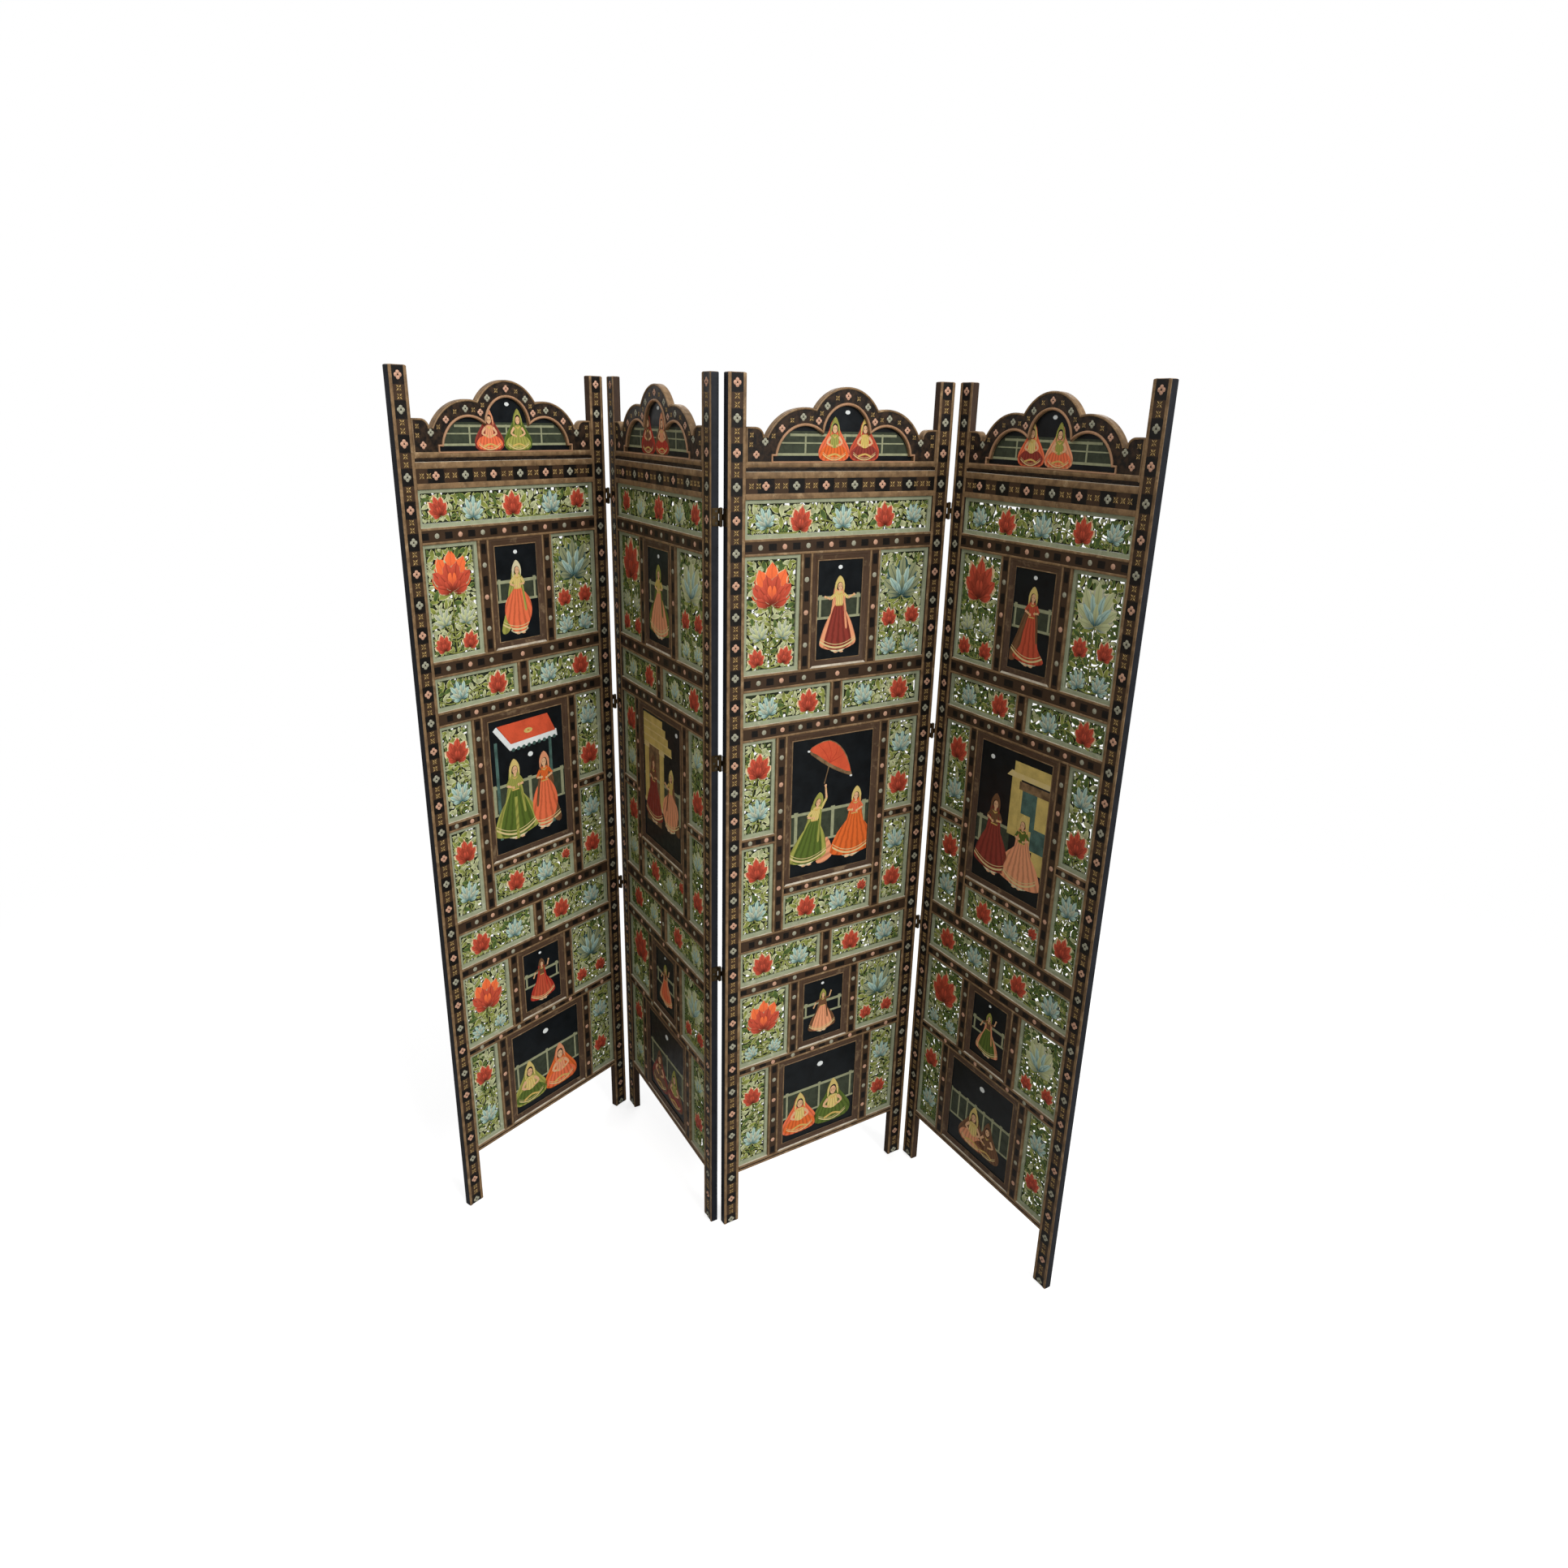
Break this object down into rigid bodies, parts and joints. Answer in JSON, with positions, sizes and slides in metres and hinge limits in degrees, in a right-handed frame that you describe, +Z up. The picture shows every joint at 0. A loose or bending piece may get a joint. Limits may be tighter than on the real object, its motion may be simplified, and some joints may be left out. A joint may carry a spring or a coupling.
{
  "type": "folding screen",
  "caption": "Folding screen of hinged panels with pierced floral jali inserts, painted pictures in mouldings and a lobed crest, standing in a zigzag on short legs.",
  "frame": {"origin": "on the floor, at the centre of the box around the standing screen's feet", "axes": "+X from the first panel to the last, along the line of the two outermost feet; +Y from the front toward the back; +Z up"},
  "size_m": [1.3398, 0.4636, 1.83],
  "materials": {
    "frame_wood": "dark brown lacquered wood with gold-brown lines, black ornament and small peach and grey rosettes",
    "painted_carving": "pierced floral carving painted in greens, red and teal",
    "painted_board": "blue-black ground with painted figures in low relief",
    "moulding_wood": "brown painted moulding with light edge lines",
    "hinge_brass": "dull brass",
    "hinge_steel": "plain steel"
  },
  "bodies": {
    "panel_1": {"p1_stile_left": "frame_wood", "p1_stile_right": "frame_wood", "p1_top_rail": "frame_wood", "p1_cross_rails": "frame_wood", "p1_bottom_rail": "frame_wood", "p1_muntins": "frame_wood", "p1_jalis": "painted_carving", "p1_picture_boards": "painted_board", "p1_picture_mouldings": "moulding_wood", "p1_crest": "frame_wood", "p1_crest_board": "painted_board", "h1_leaves_left": "hinge_brass", "h1_pins": "hinge_steel", "h1_screws_left": "hinge_steel"},
    "panel_2": {"p2_stile_left": "frame_wood", "p2_stile_right": "frame_wood", "p2_top_rail": "frame_wood", "p2_cross_rails": "frame_wood", "p2_bottom_rail": "frame_wood", "p2_muntins": "frame_wood", "p2_jalis": "painted_carving", "p2_picture_boards": "painted_board", "p2_picture_mouldings": "moulding_wood", "p2_crest": "frame_wood", "p2_crest_board": "painted_board", "h1_leaves_right": "hinge_brass", "h1_screws_right": "hinge_steel", "h2_leaves_left": "hinge_brass", "h2_pins": "hinge_steel", "h2_screws_left": "hinge_steel"},
    "panel_3": {"p3_stile_left": "frame_wood", "p3_stile_right": "frame_wood", "p3_top_rail": "frame_wood", "p3_cross_rails": "frame_wood", "p3_bottom_rail": "frame_wood", "p3_muntins": "frame_wood", "p3_jalis": "painted_carving", "p3_picture_boards": "painted_board", "p3_picture_mouldings": "moulding_wood", "p3_crest": "frame_wood", "p3_crest_board": "painted_board", "h2_leaves_right": "hinge_brass", "h2_screws_right": "hinge_steel", "h3_leaves_left": "hinge_brass", "h3_pins": "hinge_steel", "h3_screws_left": "hinge_steel"},
    "panel_4": {"p4_stile_left": "frame_wood", "p4_stile_right": "frame_wood", "p4_top_rail": "frame_wood", "p4_cross_rails": "frame_wood", "p4_bottom_rail": "frame_wood", "p4_muntins": "frame_wood", "p4_jalis": "painted_carving", "p4_picture_boards": "painted_board", "p4_picture_mouldings": "moulding_wood", "p4_crest": "frame_wood", "p4_crest_board": "painted_board", "h3_leaves_right": "hinge_brass", "h3_screws_right": "hinge_steel"}
  },
  "joints": [
    {"name": "fold_12", "type": "hinge", "parent": "panel_2", "child": "panel_1", "pos_m": [-0.41668, 0.22328, 1.119], "axis": [0, 0, 1], "range_deg": [-113.7, 66.3]},
    {"name": "fold_23", "type": "hinge", "parent": "panel_2", "child": "panel_3", "pos_m": [-0.07527, -0.16685, 1.119], "axis": [0, 0, 1], "range_deg": [-92.7, 87.3]},
    {"name": "fold_34", "type": "hinge", "parent": "panel_3", "child": "panel_4", "pos_m": [0.32621, 0.16113, 1.119], "axis": [0, 0, 1], "range_deg": [-88.3, 91.7]}
  ]
}
